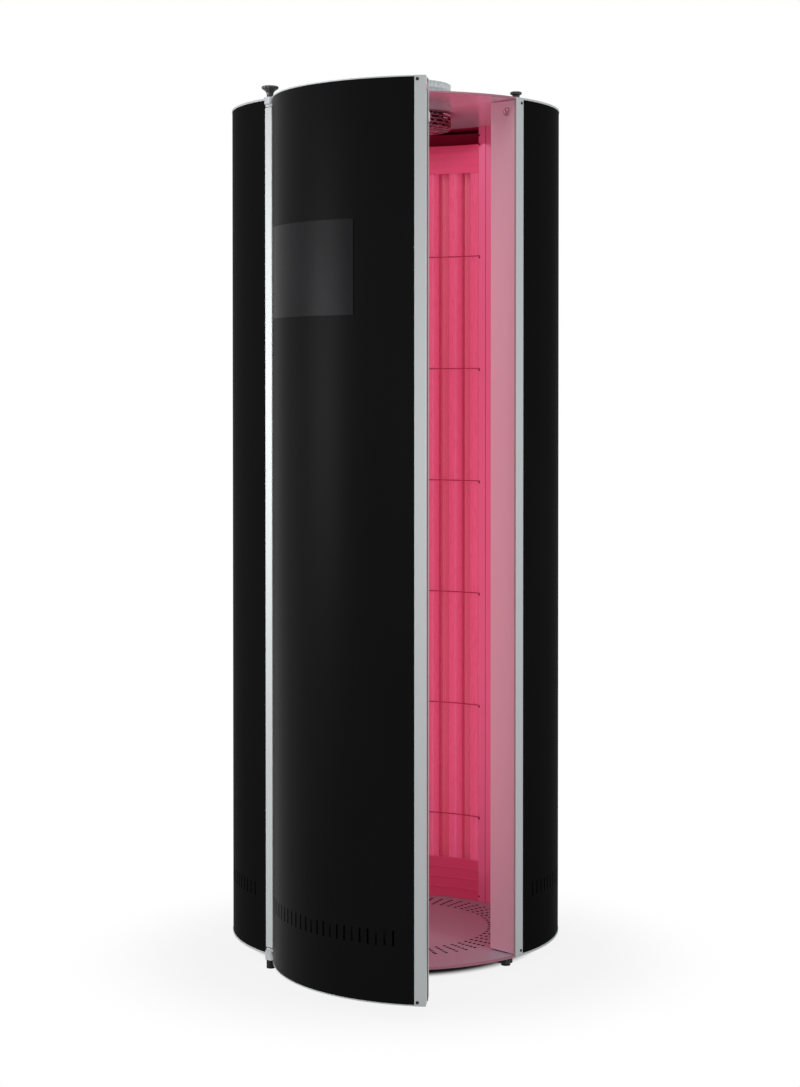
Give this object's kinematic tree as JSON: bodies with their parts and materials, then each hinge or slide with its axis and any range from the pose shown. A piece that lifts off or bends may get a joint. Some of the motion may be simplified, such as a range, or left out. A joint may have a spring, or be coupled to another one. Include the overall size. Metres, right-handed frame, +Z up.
{
  "type": "vertical tanning booth",
  "caption": "Upright round tanning cabin with lamps all round its inside wall and on a curved hinged door, guard wires, a floor with air holes and a fan outlet on the roof.",
  "frame": {"origin": "on the ground at the cabin's own upright axis, under the middle foot pad", "axes": "+Z up, the doorway faces -Y, +X to the right as the doorway is faced"},
  "size_m": [0.88, 1.2111, 2.305],
  "materials": {
    "black_skin": "satin black powder coat",
    "frame_aluminium": "satin anodised",
    "badge": "dark brushed, blank",
    "black_steel": "satin black",
    "black_plastic": "matt moulded",
    "foot_rubber": "matt",
    "floor": "satin, slightly glossy",
    "ceiling": "glossy",
    "zinc_steel": "zinc plated sheet",
    "guard_chrome": "bright",
    "lining": "satin",
    "lamp_cover": "satin",
    "reflector": "bright rolled",
    "lamp_glass": "phosphor coated tube",
    "lampholder": "gloss",
    "ballast": "satin",
    "wire": "bright drawn wire",
    "catch_steel": "satin",
    "black_screw": "black oxide",
    "cover_screw": "dark",
    "hinge_steel": "satin",
    "pin_steel": "ground",
    "knob_plastic": "moulded",
    "terminal_box": "satin",
    "gland_plastic": "matt",
    "seal_rubber": "matt"
  },
  "bodies": {
    "cabin": {"base_frame": "black_steel", "frame_end_caps": "black_plastic", "foot_pads": "foot_rubber", "hinge_foot": "black_plastic", "floor_plate": "floor", "floor_edge_trim": "frame_aluminium", "roof_plate": "ceiling", "roof_edge_trim": "frame_aluminium", "exhaust_collar": "zinc_steel", "fan_spider": "black_steel", "fan_motor": "black_steel", "fan_guard": "guard_chrome", "hinge_post": "frame_aluminium", "latch_post": "frame_aluminium", "rear_posts": "frame_aluminium", "left_skin": "black_skin", "right_skin": "black_skin", "rear_skin": "black_skin", "hinge_lining": "lining", "latch_lining": "lining", "corner_covers": "lamp_cover", "wall_top_covers": "lamp_cover", "wall_bottom_covers": "lamp_cover", "left_reflector": "reflector", "right_reflector": "reflector", "rear_reflector": "reflector", "left_lamps": "lamp_glass", "right_lamps": "lamp_glass", "rear_lamps": "lamp_glass", "wall_lampholders": "lampholder", "wall_ballasts": "ballast", "wall_guard_wires": "wire", "catch_magnet": "catch_steel", "post_screws": "black_screw", "cover_screws": "cover_screw", "hinge_block_top": "hinge_steel", "hinge_block_bottom": "hinge_steel", "hinge_pin_bottom": "pin_steel", "terminal_box": "terminal_box", "cable_gland": "gland_plastic"},
    "door": {"door_skin": "black_skin", "door_hinge_stile": "frame_aluminium", "door_latch_stile": "frame_aluminium", "door_rails": "frame_aluminium", "door_reflector": "reflector", "door_lamps": "lamp_glass", "door_lampholders": "lampholder", "door_ballasts": "ballast", "door_end_covers": "lamp_cover", "door_guard_wires": "wire", "badge_plate": "badge", "door_screws": "black_screw", "strike_plate": "catch_steel", "door_seal": "seal_rubber", "hinge_arms": "hinge_steel"},
    "fan": {"fan_rotor": "black_plastic"},
    "hinge_pin": {"hinge_pin_top": "pin_steel", "hinge_pin_cap": "knob_plastic"},
    "roof_knob": {"roof_knob": "knob_plastic"}
  },
  "joints": [
    {"name": "door_hinge", "type": "hinge", "parent": "cabin", "child": "door", "pos_m": [-0.32031, -0.29786, 0], "axis": [0, 0, 1], "range_deg": [-60.5, 49.5]},
    {"name": "fan_spin", "type": "hinge", "parent": "cabin", "child": "fan", "pos_m": [0, 0, 2.263], "axis": [0, 0, 1], "continuous": true},
    {"name": "hinge_pin_lift", "type": "slide", "parent": "cabin", "child": "hinge_pin", "axis": [0, 0, 1], "range_m": [0, 0.016]},
    {"name": "roof_knob_turn", "type": "hinge", "parent": "cabin", "child": "roof_knob", "pos_m": [0.30829, -0.29295, 2.233], "axis": [0, 0, 1], "continuous": true}
  ]
}
